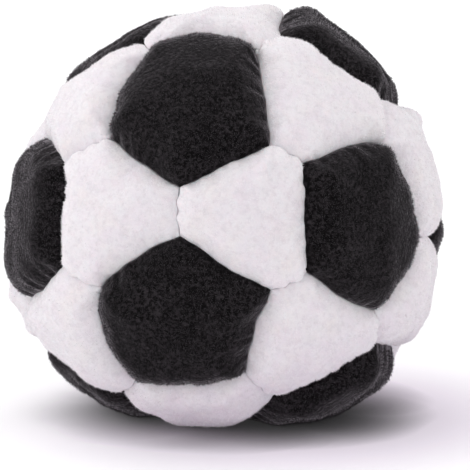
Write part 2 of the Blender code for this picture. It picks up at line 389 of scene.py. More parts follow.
# The soft lamps of the studio: name, the way that the light goes, and strength
LAMPS = (
    ("left", (0.90, 0.15, -0.40), 0.70),
    ("right", (-0.80, -0.05, -0.50), 0.55),
    ("front", (0.15, 1.00, -0.10), 0.85),
    ("behind", (0.70, -0.60, -0.50), 0.40),
    ("overhead", (0.12, -0.22, -0.95), 0.70),
)
SURROUND_COLOUR = (0.995, 0.99, 1.0, 1.0)

# The way from the floor towards the bag on the side where its shade reaches furthest
SHADE_TILT = (-0.6, 0.42, 0.68)
SHADE_SAMPLES = 16

# Colours of the light that lifts the floor to white, and of floor that no light reaches
WHITE = (1.0, 1.0, 1.0, 1.0)
UNLIT = (0.0, 0.0, 0.0, 1.0)


def settings(group):
    """The user's settings of one group: shape, seams, filling, cloth, colours, nap or stage."""
    return getattr(bpy.context.scene, f"footbag_{group}")


def crease_radius():
    """How far the seams of the even bag lie from its middle."""
    shape = settings("shape")
    return shape.width / 2 - shape.crease_depth


def heights(points):
    """How far points of the even bag lie above its seams."""
    return np.maximum(0, np.linalg.norm(points, axis=1) - crease_radius())


def unit(vectors):
    """The same vectors with length one."""
    return vectors / np.linalg.norm(vectors, axis=-1, keepdims=True)


def black_directions():
    """Directions of the twelve black panels: a pole, two rings of five and the far pole."""
    flat = math.cos(RING_LATITUDE)
    step = math.tau / RING_PANELS
    directions = [Vector((0, 0, 1))]
    for side, start in ((1, 0.0), (-1, step / 2)):
        high = side * math.sin(RING_LATITUDE)
        for index in range(RING_PANELS):
            turn = start + index * step
            directions.append(Vector((flat * math.cos(turn), flat * math.sin(turn), high)))
    directions.append(Vector((0, 0, -1)))
    turned = [BAG_TURN.to_matrix() @ d for d in directions]
    return {number: np.array(d) for number, d in enumerate(turned, 1)}


BLACK = black_directions()
OPPOSITE = {a: min(BLACK, key=lambda b: BLACK[a] @ BLACK[b]) for a in BLACK}


def are_neighbours(a, b):
    """Black panels are neighbours when one short seam joins their nearest corners."""
    return a != b and BLACK[a] @ BLACK[b] > 0


WHITE_TRIOS = [
    trio
    for trio in combinations(BLACK, 3)
    if all(are_neighbours(a, b) for a, b in combinations(trio, 2))
]


def corner(a, b):
    """Direction of black panel a's corner towards its black neighbour b."""
    if (a, b) in CORNER_MOVE_SHARES:
        right, up = CORNER_MOVE_SHARES[a, b]
    else:
        right, up = CORNER_MOVE_SHARES.get((OPPOSITE[a], OPPOSITE[b]), (0, 0))
        right, up = -right, -up
    even = unit(BLACK[a] + (BLACK[b] - BLACK[a]) * CORNER_SHARE)
    return unit(even + np.array((right, 0, up)))


def row_shares(count):
    """Places of the rows from a panel's middle at 0 to its seam at 1, closer near the seam."""
    even = np.linspace(0, 1, count + 1)
    crowded = np.sin(even * math.pi / 2)
    return even + (crowded - even) * ROW_CROWDING


def seam_shares(count):
    """Places of the cloth's rows along a whole seam, from one corner to the other."""
    half = row_shares(count) / 2
    return np.concatenate((0.5 - half[::-1], 0.5 + half[1:]))


def strayed(directions):
    """Seam directions moved by the small wander of hand sewing."""
    shape, seams = settings("shape"), settings("seams")
    radius = shape.width / 2
    moved = []
    for direction in directions:
        place = Vector(direction * radius / seams.wander_length)
        stray = np.array(noise.noise_vector(place)) * seams.wander / radius
        moved.append(direction + stray - direction * (stray @ direction))
    return unit(np.array(moved))


def long_seam(a, b, c):
    """Directions along black panel a's seam, from its corner at b to its corner at c."""
    start, end = corner(a, b), corner(a, c)
    usual_bow = settings("seams").bow / crease_radius()
    bow = SEAM_BOW_SHARES.get((a, *sorted((b, c))), usual_bow)
    share = seam_shares(LONG_ROWS)[:, None]
    middle = start + (end - start) * share
    outward = unit(middle - BLACK[a])
    return strayed(unit(middle + outward * bow * 4 * share * (1 - share)))


def short_seam(a, b):
    """Directions along the white seam between the facing corners of black panels a and b."""
    start, end = corner(a, b), corner(b, a)
    share = seam_shares(SHORT_ROWS)[:, None]
    return strayed(unit(start + (end - start) * share))


class Panel:
    """One panel's cloth on the even ball, as a grid of square patches, one for each corner."""

    def __init__(self, name, crown, sides, leans, reaches):
        """Sides are the seams' directions, end to end round the panel.

        Leans say how far the panel hangs over each seam, reaches how far its lip rises.
        """
        self.name = name
        self.crown = crown + FULLER_PANELS.get(name, 0)
        self.sides, self.leans, self.reaches = self.seen_from_outside(sides, leans, reaches)
        self.centre = unit(sum(side[:-1].mean(0) for side in self.sides))
        self.build()

    @staticmethod
    def seen_from_outside(sides, leans, reaches):
        """The same sides, ordered to run anticlockwise seen from outside the bag."""
        outline = np.concatenate([side[:-1] for side in sides])
        area = np.cross(outline, np.roll(outline, -1, axis=0)).sum(0)
        if area @ outline.sum(0) > 0:
            return sides, leans, reaches
        return [side[::-1] for side in reversed(sides)], leans[::-1], reaches[::-1]

    def build(self):
        """Fill the arrays of faces and of what is known of each point, merged at the corners."""
        parts, faces, start = [], [], 0
        for index in range(len(self.sides)):
            known, quads = self.corner_patch(index)
            parts.append(known)
            faces.append(quads + start)
            start += len(known["directions"])
        known = {name: np.concatenate([part[name] for part in parts]) for name in parts[0]}
        rounded = np.round(known["directions"], MERGE_DIGITS)
        keep, place = np.unique(rounded, axis=0, return_index=True, return_inverse=True)[1:]
        self.faces = place.reshape(-1)[np.concatenate(faces)]
        for name, values in known.items():
            setattr(self, name, values[keep])
        self.directions = unit(self.directions)
        self.edge = (self.shares >= 1).any(1)

    def corner_patch(self, index):
        """The patch from the panel's middle to one corner: what is known of its points, and faces.

        Each point has its direction, and for the seam before and after the corner the nearest
        place on it, the wall above that, the way to it along the seam and its lip.
        """
        before, after = self.sides[index - 1], self.sides[index]
        middle = (len(before) - 1) // 2
        seam_before, wall_before = before[middle:], self.seam_walls(before)[middle:]
        middle = (len(after) - 1) // 2
        seam_after, wall_after = after[middle::-1], self.seam_walls(after)[middle::-1]
        along, across = row_shares(len(seam_before) - 1), row_shares(len(seam_after) - 1)
        grid = np.arange(len(across) * len(along)).reshape(len(across), len(along))

        def paired(first, second):
            """Values along the seam before and along the seam after, spread over the patch."""
            size = grid.shape + first.shape[1:]
            both = np.broadcast_to(first[None], size), np.broadcast_to(second[:, None], size)
            return np.stack(both, 2).reshape(-1, 2, *first.shape[1:])

        def run(seam):
            """How far along a seam its points lie from its middle."""
            return np.arccos(np.minimum(1, seam @ seam[0]))

        shares = paired(along, across)
        white_seams = np.array((len(before) < len(after), len(after) < len(before)))
        fade = np.where(white_seams, 1 - shares**LAP_FADE, 1)
        reaches = self.reaches[index - 1], self.reaches[index]
        known = {
            "directions": self.patch(seam_before, seam_after, across, along).reshape(-1, 3),
            "shares": shares,
            "walls": paired(wall_before, wall_after),
            "feet": paired(seam_before, seam_after),
            "runs": paired(run(seam_before), run(seam_after)),
            "wall_leans": fade * (self.leans[index - 1], self.leans[index]),
            "lip_reaches": np.tile(reaches, (grid.size, 1)),
            "rises": white_seams * (1 - shares**RISE_FADE),
        }
        faces = np.stack((grid[:-1, :-1], grid[1:, :-1], grid[1:, 1:], grid[:-1, 1:]), -1)
        return known, faces.reshape(-1, 4)

    def patch(self, before, after, across, along):
        """Directions over one corner's patch: rows from the middle, columns to the seams."""
        u = across[:, None, None]
        v = along[None, :, None]
        centre, corner_point = self.centre, before[-1]
        middle_before, middle_after = before[0], after[0]
        ruled = (
            (1 - u) * (centre + (middle_after - centre) * v)
            + u * before[None, :, :]
            + (1 - v) * (centre + (middle_before - centre) * u)
            + v * after[:, None, :]
        )
        flat = (
            (1 - u) * (1 - v) * centre
            + u * (1 - v) * middle_before
            + (1 - u) * v * middle_after
            + u * v * corner_point
        )
        return unit(ruled - flat)

    @staticmethod
    def seam_walls(side):
        """For each seam point, the direction square to the seam and into the panel."""
        ahead = np.concatenate((side[1:], side[-1:]))
        behind = np.concatenate((side[:1], side[:-1]))
        return unit(np.cross(behind, ahead))

    def outline(self):
        """Numbers of the seam's points in order round the panel."""
        return np.concatenate([self.numbers(side[:-1]) for side in self.sides])

    def numbers(self, directions):
        """The points that lie in these directions."""
        places = np.flatnonzero(self.edge)
        nearest = (directions @ self.directions[places].T).argmax(1)
        return places[nearest]

    def inset(self, rim, radius, gap):
        """Ring under the rim, a gap inside the seams, with its points in order at the corners."""
        ring = self.directions[rim] * radius[:, None]
        walls = self.walls[rim]
        room = (ring[:, None] * walls).sum(2)
        near, far = np.argsort(room, axis=1).T
        each = np.arange(len(rim))
        own, other = walls[each, near], walls[each, far]
        turn = (own * other).sum(1)
        even = room[each, far] + turn * gap
        wanted = (even + gap + np.hypot(even - gap, gap * CORNER_SOFTNESS)) / 2
        sideways = (other - own * turn[:, None]) / (1 - turn**2)[:, None]
        return ring + own * gap + sideways * (wanted - even)[:, None]


def laps_under(third, a, b):
    """Whether the white panel of these three black ones lies under its neighbour at seam a, b."""
    return third != min(other for other in BLACK if are_neighbours(other, a) and are_neighbours(other, b))


def all_panels():
    """Every panel of the bag, by the name of the part's node that it stands for."""
    shape, seams = settings("shape"), settings("seams")
    noise.seed_set(WEAR_SEED)
    panels = {}
    for a in BLACK:
        around = [b for b in BLACK if are_neighbours(a, b)]
        side = corner(a, around[0]) - BLACK[a]
        across = np.cross(BLACK[a], side)
        around.sort(key=lambda b: math.atan2(BLACK[b] @ across, BLACK[b] @ side) % math.tau)
        sides = [long_seam(a, b, c) for b, c in zip(around, around[1:] + around[:1])]
        name = f"black_panel_{a:02d}"
        leans, reaches = [seams.lean] * len(sides), [shape.lip_reach] * len(sides)
        panels[name] = Panel(name, shape.black_crown, sides, leans, reaches)
    for number, (a, b, c) in enumerate(WHITE_TRIOS, 1):
        sides, leans, reaches = [], [], []
        for here, before, after in ((a, b, c), (c, a, b), (b, c, a)):
            sides += [long_seam(here, before, after), short_seam(here, after)]
            if laps_under(before, here, after):
                leans += [-seams.lean, seams.lap]
                reaches += [shape.lip_reach, seams.under_reach]
            else:
                leans += [-seams.lean, -seams.lap]
                reaches += [shape.lip_reach, seams.over_reach]
        name = f"white_panel_{number:02d}"
        panels[name] = Panel(name, shape.white_crown, sides, leans, reaches)
    return panels


def seam_distances(panel):
    """How far each point lies from its two seams."""
    across = np.arccos(np.clip((panel.feet * panel.directions[:, None]).sum(2), -1, 1))
    return across * crease_radius()


def puffed(panel):
    """Points of the panel on the even ball before the filling presses: a plain puff."""
    u, v = panel.shares.T
    swell = (1 - u**SWELL_FADE) * (1 - v**SWELL_FADE)
    roll = (1 - np.exp(-seam_distances(panel) / panel.lip_reaches)).prod(1)
    radius = crease_radius() + panel.crown * swell + settings("shape").lip * roll
    return panel.directions * radius[:, None]


def noises(places):
    """Soft random numbers, mostly from -1 to 1, at places in space."""
    return np.array([noise.noise(Vector(place)) for place in places])


def worn(panel, points):
    """The filled cloth with its stitches' puckers, the pellets' lumps and the dents of use."""
    seams, cloth = settings("seams"), settings("cloth")
    crease = crease_radius()
    distance = seam_distances(panel)
    inside = 1 - np.exp(-distance / seams.pucker_reach).max(1)
    lumps = noises(points / cloth.lump_length) * cloth.lump
    dents = noises(points / cloth.dent_length) * cloth.dent
    u, v = panel.shares.T
    ridges = np.exp(-(((u - v) / cloth.ridge_width) ** 2)) * np.minimum(1, u + v)
    ridges *= (1 + RIDGE_UNEVENNESS * noises(points / cloth.dent_length)) * cloth.ridge
    rise = (lumps + dents + ridges) * inside
    points = points + panel.directions * rise[:, None]
    for side in range(2):
        wobble = noises(panel.feet[:, side] * crease / seams.stitch_pitch) * STITCH_UNEVENNESS
        phase = (panel.runs[:, side] * crease / seams.stitch_pitch + wobble) * math.tau
        pull = (0.5 + 0.5 * np.cos(phase)) * seams.stitch_pull
        near = np.exp(-distance[:, side] / seams.pucker_reach)
        away = 1 - np.exp(-distance[:, side] / panel.lip_reaches[:, side])
        rise = panel.rises[:, side] * seams.white_rise
        points += panel.directions * ((rise - pull) * near)[:, None]
        over = panel.wall_leans[:, side] * heights(points) + pull * away
        points += panel.walls[:, side] * (over * near)[:, None]
    return points


def walled(panel, points):
    """Points kept on the panel's own side of its seams."""
    gap = settings("seams").gap
    points = points.copy()
    for _ in range(WALL_ROUNDS):
        height = heights(points)
        for side in range(2):
            wall = panel.walls[:, side]
            least = gap / 2 + panel.wall_leans[:, side] * height
            short = np.maximum(0, least - (points * wall).sum(1))
            points += wall * short[:, None]
    return points


def settled(points):
    """Where points of the even ball lie once the bag is filled, used and set down."""
    shape = settings("shape")
    direction = unit(points)
    factor = 1 + FRONT_FULLNESS_SHARE * np.maximum(0, -direction[:, 1]) ** FULLNESS_FALLOFF
    for index, share in enumerate(OUTLINE_FULLNESS_SHARES):
        turn = math.tau * index / len(OUTLINE_FULLNESS_SHARES)
        facing = direction[:, 0] * math.cos(turn) + direction[:, 2] * math.sin(turn)
        factor += share * np.maximum(0, facing) ** FULLNESS_FALLOFF
    across = np.array((1, 0, 0))
    up = np.array((0, math.sin(OUTLINE_TILT), math.cos(OUTLINE_TILT)))
    near = np.array((0, -math.cos(OUTLINE_TILT), math.sin(OUTLINE_TILT)))
    for degrees, share, falloff in OUTLINE_BULGES:
        turn = math.radians(degrees)
        way = math.cos(OUTLINE_LEAN) * (math.cos(turn) * across + math.sin(turn) * up)
        way = way + math.sin(OUTLINE_LEAN) * near
        factor += share * np.maximum(0, direction @ way) ** falloff
    moved = points * factor[:, None]
    moved[:, 2] *= shape.height / shape.width
    low = (1 + direction[:, 2] * factor) * shape.height / 2 - shape.press_depth
    pressed = (low + np.sqrt(low**2 + shape.press_reach**2)) / 2
    moved[:, 2] += pressed - low
    moved += np.array(shape.centre)
    above = moved[:, 2]
    moved[:, 2] = (above + np.sqrt(above**2 + shape.foot_lift**2)) / 2
    return moved


def blown_up(panels):
    """Each panel's points after a cloth simulation has pressed the filling into them."""
    cloth = settings("cloth")
    before = [puffed(panel) for panel in panels]
    points = np.concatenate(before)
    faces, pins, start = [], [], 0
    for panel, places in zip(panels, before):
        faces += (panel.faces + start).tolist()
        pins += (np.flatnonzero(panel.edge) + start).tolist()
        start += len(places)
    mesh = bpy.data.meshes.new("pressed_cloth")
    mesh.from_pydata((points * SIM_SCALE).tolist(), [], faces)
    sheet = bpy.data.objects.new("pressed_cloth", mesh)
    bpy.context.scene.collection.objects.link(sheet)
    sewn = sheet.vertex_groups.new(name="sewn")
    sewn.add(pins, 1.0, "REPLACE")
    modifier = sheet.modifiers.new("filling", "CLOTH")
    solver = modifier.settings
    for name, value in SOLVER.items():
        setattr(solver, name, value)
    solver.vertex_group_mass = "sewn"
    solver.use_pressure = True
    solver.uniform_pressure_force = cloth.pressure
    solver.shrink_min = -cloth.slack
    solver.effector_weights.gravity = 0
    modifier.collision_settings.use_collision = False
    modifier.point_cache.frame_start = 1
    modifier.point_cache.frame_end = SIM_FRAMES
    scene = bpy.context.scene
    for number in range(1, SIM_FRAMES + 1):
        scene.frame_set(number)
    seen = sheet.evaluated_get(bpy.context.evaluated_depsgraph_get())
    after = np.empty(len(points) * 3)
    seen.data.vertices.foreach_get("co", after)
    scene.frame_set(1)
    bpy.data.objects.remove(sheet)
    bpy.data.meshes.remove(mesh)
    move = after.reshape(-1, 3) / SIM_SCALE - points
    size = np.linalg.norm(move, axis=1, keepdims=True)
    usual, most = size.mean() * MILLIMETRES, size.max() * MILLIMETRES
    print(f"filling moved the cloth by {usual:.2f} mm, at most {most:.2f} mm")
    move *= np.minimum(1, cloth.most_move / np.maximum(size, TINY))
    after = points + move
    return np.split(after, np.cumsum([len(places) for places in before])[:-1])


def sewn_cloth(panel, points):
    """The panel's outer cloth as points and faces: its crown and its turned allowance."""
    seams = settings("seams")
    rim = panel.outline()
    level = np.full(len(rim), crease_radius())
    pulled = np.minimum(level, np.linalg.norm(points[rim], axis=1))
    rings = [
        panel.inset(rim, pulled - seams.throat, seams.gap / 2),
        panel.inset(rim, level - seams.stitch_depth, seams.allowance_gap),
        panel.inset(rim, level - seams.allowance, seams.allowance_gap),
    ]
    faces = panel.faces.tolist()
    places = [points]
    upper = rim
    start = len(points)
    for ring in rings:
        lower = np.arange(len(ring)) + start
        start += len(ring)
        places.append(ring)
        quads = np.stack((upper, lower, np.roll(lower, -1), np.roll(upper, -1)), -1)
        faces += quads.tolist()
        upper = lower
    return settled(np.concatenate(places)), faces


def outer_draft(name, points, faces, napped, material):
    """A draft of a panel's outer cloth, smoothed, with its napped points marked."""
    mesh = bpy.data.meshes.new(name)
    mesh.from_pydata(points.tolist(), [], faces)
    bm = bmesh.new()
    bm.from_mesh(mesh)
    bmesh.ops.recalc_face_normals(bm, faces=bm.faces)
    bm.to_mesh(mesh)
    bm.free()
    marks = np.zeros(len(points))
    marks[: len(napped)] = napped
    mesh.attributes.new("napped", "FLOAT", "POINT").data.foreach_set("value", marks)
    mesh.shade_smooth()
    mesh.materials.append(material)
    draft = bpy.data.objects.new(name, mesh)
    bpy.context.scene.collection.objects.link(draft)
    smooth = draft.modifiers.new("smooth", "SUBSURF")
    smooth.levels = smooth.render_levels = 1
    return draft


def cloth_piece(draft):
    """The panel's piece: its outer cloth with its thickness inward."""
    wall = draft.modifiers.new("thickness", "SOLIDIFY")
    wall.thickness = settings("cloth").thickness
    wall.offset = -1
    return applied(draft, draft.name)


def applied(draft, name):
    """The draft with its modifiers applied, as a plain mesh under the same name."""
    graph = bpy.context.evaluated_depsgraph_get()
    mesh = bpy.data.meshes.new_from_object(draft.evaluated_get(graph), depsgraph=graph)
    draft.modifiers.clear()
    old = draft.data
    draft.data = mesh
    bpy.data.meshes.remove(old)
    mesh.name = name
    return draft


def handed_in(piece, node):
    """The piece rides on the bag and stands in for its node, which is hidden."""
    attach(piece, BODY)
    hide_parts(node)
    return piece


def dress(colour, finish, nap_length, tones):
    """Sew, fill and nap the panels of one colour, and put them on the bag in place of the part's panels."""
    fibres = settings("nap")
    nap = nap_weave()
    sewn = {name: panel for name, panel in all_panels().items() if name.startswith(colour)}
    filled = blown_up(list(sewn.values()))
    for seed, ((name, panel), points) in enumerate(zip(sewn.items(), filled)):
        places, faces = sewn_cloth(panel, walled(panel, worn(panel, points)))
        napped = seam_distances(panel).min(1) > fibres.bare_edge
        draft = outer_draft(name.replace("panel", "suede"), places, faces, napped, finish)
        pile = nap.grown(
            name.replace("panel", "nap"),
            draft,
            Density=fibres.density,
            Pale_share=fibres.pale_share,
            Length=nap_length,
            Width=fibres.width,
            Lean=fibres.lean,
            Clump=fibres.clump,
            Seed=seed,
            Material=tones[0],
            Pale_material=tones[1],
        )
        piece = cloth_piece(draft)
        handed_in(piece, name)
        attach(pile, BODY)


def seam_lines():
    """Directions along every seam of the bag: sixty long ones and thirty short ones."""
    noise.seed_set(WEAR_SEED)
    lines = []
    for a, b, c in WHITE_TRIOS:
        lines += [long_seam(a, b, c), long_seam(b, a, c), long_seam(c, a, b)]
    lines += [short_seam(a, b) for a, b in combinations(BLACK, 2) if are_neighbours(a, b)]
    return lines


def thread_lines():
    """A draft of the thread's straight course along all seams, as edges only."""
    shape, seams = settings("shape"), settings("seams")
    depth = shape.crease_depth + seams.stitch_depth + seams.thread
    points, edges = [], []
    for line in seam_lines():
        start = len(points)
        points += settled(line * (shape.width / 2 - depth)).tolist()
        edges += [(number, number + 1) for number in range(start, len(points) - 1)]
    mesh = bpy.data.meshes.new("thread_lines")
    mesh.from_pydata(points, edges, [])
    return bpy.data.objects.new("thread_lines", mesh)


def pellet_places():
    """Middles of the pellets: close rows, a little strayed, that fit within the sewn cloth."""
    filling = settings("filling")
    noise.seed_set(WEAR_SEED)
    radius = settings("shape").width / 2 - filling.pellet / 2
    count = math.ceil(radius / filling.spacing)
    rows = np.arange(-count, count + 1)
    layer, row, place = np.meshgrid(rows, rows, rows, indexing="ij")
    across = place + row % 2 / 2
    along = (row + layer % 2 * 2 / 3) * math.sqrt(3) / 2
    up = layer * math.sqrt(2 / 3)
    spots = np.stack((across, along, up), -1).reshape(-1, 3) * filling.spacing
    spots = spots[np.linalg.norm(spots, axis=1) < radius]
    stray = [noise.noise_vector(Vector(spot) / filling.stray_length) for spot in spots]
    spots = settled(spots + np.array(stray) * filling.stray)
    cloth = cloth_points()
    tree = KDTree(len(cloth))
    for number, point in enumerate(cloth):
        tree.insert(point, number)
    tree.balance()
    least = filling.pellet / 2 + filling.clearance
    kept = [spot for spot in spots if spot[2] > least and tree.find(spot)[2] > least]
    return [spot for spot in kept if under_cloth(spot, cloth, tree)]


def cloth_points():
    """Points of all the sewn cloth, inside and outside."""
    points = []
    for piece in bpy.context.scene.objects:
        if "_suede_" in piece.name:
            own = np.empty(len(piece.data.vertices) * 3)
            piece.data.vertices.foreach_get("co", own)
            points.append(own.reshape(-1, 3))
    return np.concatenate(points)


def under_cloth(spot, cloth, tree):
    """Whether the nearest cloth lies farther from the bag's middle than the spot does."""
    middle = Vector(settings("shape").centre)
    nearest = Vector(cloth[tree.find(spot)[1]])
    return (nearest - Vector(spot)).dot(Vector(spot) - middle) > 0


def pellet_draft():
    """A draft of the filling, as points only."""
    mesh = bpy.data.meshes.new("pellet_places")
    mesh.from_pydata([tuple(spot) for spot in pellet_places()], [], [])
    return bpy.data.objects.new("pellet_places", mesh)


class Value:
    """A number in a node tree: Python's operators join it to others with Math nodes."""

    def __init__(self, tree, socket):
        self.tree = tree
        self.socket = socket

    def joined(self, operation, *numbers):
        """The number that a Math node makes of these."""
        return Value(self.tree, self.tree.reckon(operation, *numbers))

    def __add__(self, other):
        return self.joined("ADD", self, other)

    def __radd__(self, other):
        return self.joined("ADD", other, self)

    def __sub__(self, other):
        return self.joined("SUBTRACT", self, other)

    def __rsub__(self, other):
        return self.joined("SUBTRACT", other, self)

    def __mul__(self, other):
        return self.joined("MULTIPLY", self, other)

    def __rmul__(self, other):
        return self.joined("MULTIPLY", other, self)

    def __truediv__(self, other):
        return self.joined("DIVIDE", self, other)

    def __rtruediv__(self, other):
        return self.joined("DIVIDE", other, self)

    def __pow__(self, other):
        return self.joined("POWER", self, other)


class Tree:
    """A node tree whose nodes all come from one method."""

    def __init__(self, tree):
        self.tree = tree

    def node(self, kind, options=None, inputs=None):
        """A node of one type, with its settings first and then its sockets' values or links."""
        node = self.tree.nodes.new(kind)
        for name, value in (options or {}).items():
            setattr(node, name, value)
        for socket, value in (inputs or {}).items():
            self.feed(node.inputs[socket], value)
        return node

    def feed(self, socket, value):
        """Give a socket a number, a colour, a Value or another node's output."""
        if isinstance(value, Value):
            value = value.socket
        if isinstance(value, bpy.types.NodeSocket):
            self.tree.links.new(value, socket)
        else:
            socket.default_value = value

    def made(self, kind, options=None, inputs=None, output=0):
        """One output of such a node."""
        return self.node(kind, options, inputs).outputs[output]

    def value(self, kind, options=None, inputs=None, output=0):
        """One output of such a node, as a number to reckon with."""
        return Value(self, self.made(kind, options, inputs, output))

    def reckon(self, operation, *numbers):
        """A sum, product or the like of numbers."""
        return self.made("ShaderNodeMath", {"operation": operation}, dict(enumerate(numbers)))

    def vector(self, operation, *vectors):
        """A sum, product or the like of vectors."""
        return self.made("ShaderNodeVectorMath", {"operation": operation}, dict(enumerate(vectors)))

    def scaled(self, vector, factor):
        """A vector made longer or shorter."""
        return self.made("ShaderNodeVectorMath", {"operation": "SCALE"}, {0: vector, "Scale": factor})

    def shows_background(self):
        """Whether a ray comes from the camera, or by way of a gloss or a glass."""
        ways = self.node("ShaderNodeLightPath").outputs
        shown = self.reckon("MAXIMUM", ways["Is Camera Ray"], ways["Is Glossy Ray"])
        return Value(self, self.reckon("MAXIMUM", shown, ways["Is Transmission Ray"]))


class Finish(Tree):
    """A procedural material round one Principled shader."""

    def __init__(self, name, **constants):
        """Constants are the shader's own values, by socket name with underscores."""
        self.material = bpy.data.materials.new(name)
        self.material.use_nodes = True
        super().__init__(self.material.node_tree)
        self.shader = self.tree.nodes["Principled BSDF"]
        self.output = self.tree.nodes["Material Output"]
        for socket, value in constants.items():
            self.shader.inputs[socket.replace("_", " ")].default_value = value
        self.place = self.made("ShaderNodeTexCoord", output="Object")

    def grain(self, size, detail=2.0, roughness=0.5):
        """Soft random grain of a real size, from 0 to 1."""
        inputs = {"Vector": self.place, "Scale": 1 / size, "Detail": detail, "Roughness": roughness}
        return self.value("ShaderNodeTexNoise", {}, inputs, "Fac")

    def spread(self, value, low, high):
        """A number stretched so that low becomes 0 and high becomes 1, and held between."""
        options = {"clamp": True, "interpolation_type": "SMOOTHSTEP"}
        inputs = {"Value": value, "From Min": low, "From Max": high}
        return self.value("ShaderNodeMapRange", options, inputs, "Result")

    def blend(self, share, first, second):
        """A colour between two, by a share from 0 to 1."""
        options = {"data_type": "RGBA", "clamp_factor": True}
        return self.made("ShaderNodeMix", options, {0: share, 6: first, 7: second}, 2)

    @staticmethod
    def mixed(first, second, share):
        """Two grains as one, with this share of the first."""
        return first * share + second * (1 - share)

    @staticmethod
    def ranged(grain, least, swing):
        """A number that the grain takes up from its least by at most its swing."""
        return least + grain * swing

    def relief(self, height, depth, strength):
        """Bump of a real depth on the shader."""
        inputs = {"Height": height, "Distance": depth, "Strength": strength}
        self.feed(self.shader.inputs["Normal"], self.made("ShaderNodeBump", {}, inputs))

    def paint(self, **sockets):
        """Feed the shader's varying sockets, by name with underscores."""
        for socket, value in sockets.items():
            self.feed(self.shader.inputs[socket.replace("_", " ")], value)
        return self.material


def rgb(colour):
    """A colour property as the four numbers that a colour socket takes."""
    return (*colour, 1.0)


class Weave(Tree):
    """A Geometry Nodes tree with named inputs, which ends in real faces with a material."""

    def __init__(self, name, inputs):
        """Inputs are the types of the sockets after the geometry, by name."""
        super().__init__(bpy.data.node_groups.new(name, "GeometryNodeTree"))
        face = self.tree.interface
        for label, kind in {"Geometry": "Geometry", **inputs}.items():
            face.new_socket(label, in_out="INPUT", socket_type=f"NodeSocket{kind}")
        face.new_socket("Geometry", in_out="OUTPUT", socket_type="NodeSocketGeometry")
        self.inputs = self.node("NodeGroupInput").outputs
        self.output = self.node("NodeGroupOutput").inputs[0]

    def number(self, name):
        """One of the tree's inputs as a number to reckon with."""
        return Value(self, self.inputs[name])

    def strewn(self, low, high, seed):
        """A random vector between two, another one at each point."""
        inputs = {0: low, 1: high, "Seed": seed}
        return self.made("FunctionNodeRandomValue", {"data_type": "FLOAT_VECTOR"}, inputs)

    def placed(self, points, instance, rotation, scale):
        """An instance on each point."""
        inputs = {"Points": points, "Instance": instance, "Rotation": rotation, "Scale": scale}
        return self.made("GeometryNodeInstanceOnPoints", {}, inputs)

    def finished(self, pieces, material):
        """The pieces as real faces with their material."""
        real = self.made("GeometryNodeRealizeInstances", {}, {0: pieces})
        return self.made("GeometryNodeSetMaterial", {}, {"Geometry": real, "Material": material})

    def grown(self, name, draft, **values):
        """The tree's result on a draft object, as a new plain object."""
        modifier = draft.modifiers.new(name, "NODES")
        modifier.node_group = self.tree
        items = self.tree.interface.items_tree
        sockets = {item.name: item.identifier for item in items if item.in_out == "INPUT"}
        for label, value in values.items():
            modifier[sockets[label.replace("_", " ")]] = value
        graph = bpy.context.evaluated_depsgraph_get()
        mesh = bpy.data.meshes.new_from_object(draft.evaluated_get(graph), depsgraph=graph)
        draft.modifiers.remove(modifier)
        mesh.name = name
        piece = bpy.data.objects.new(name, mesh)
        bpy.context.scene.collection.objects.link(piece)
        return piece


def nap_weave():
    """Short fibres over the crown of a panel: most of one tone and some of a second."""
    sizes = dict.fromkeys(("Density", "Pale share", "Length", "Width", "Lean", "Clump"), "Float")
    weave = Weave("nap", {**sizes, "Seed": "Int", "Material": "Material", "Pale material": "Material"})
    pale = weave.number("Pale share")
    tones = [
        one_tone(weave, 1.0 - pale, weave.number("Seed"), weave.inputs["Material"]),
        one_tone(weave, pale, weave.number("Seed") + TONE_SEED_STEP, weave.inputs["Pale material"]),
    ]
    joined = weave.node("GeometryNodeJoinGeometry")
    for tone in tones:
        weave.feed(joined.inputs[0], tone)
    weave.feed(weave.output, joined.outputs[0])
    return weave


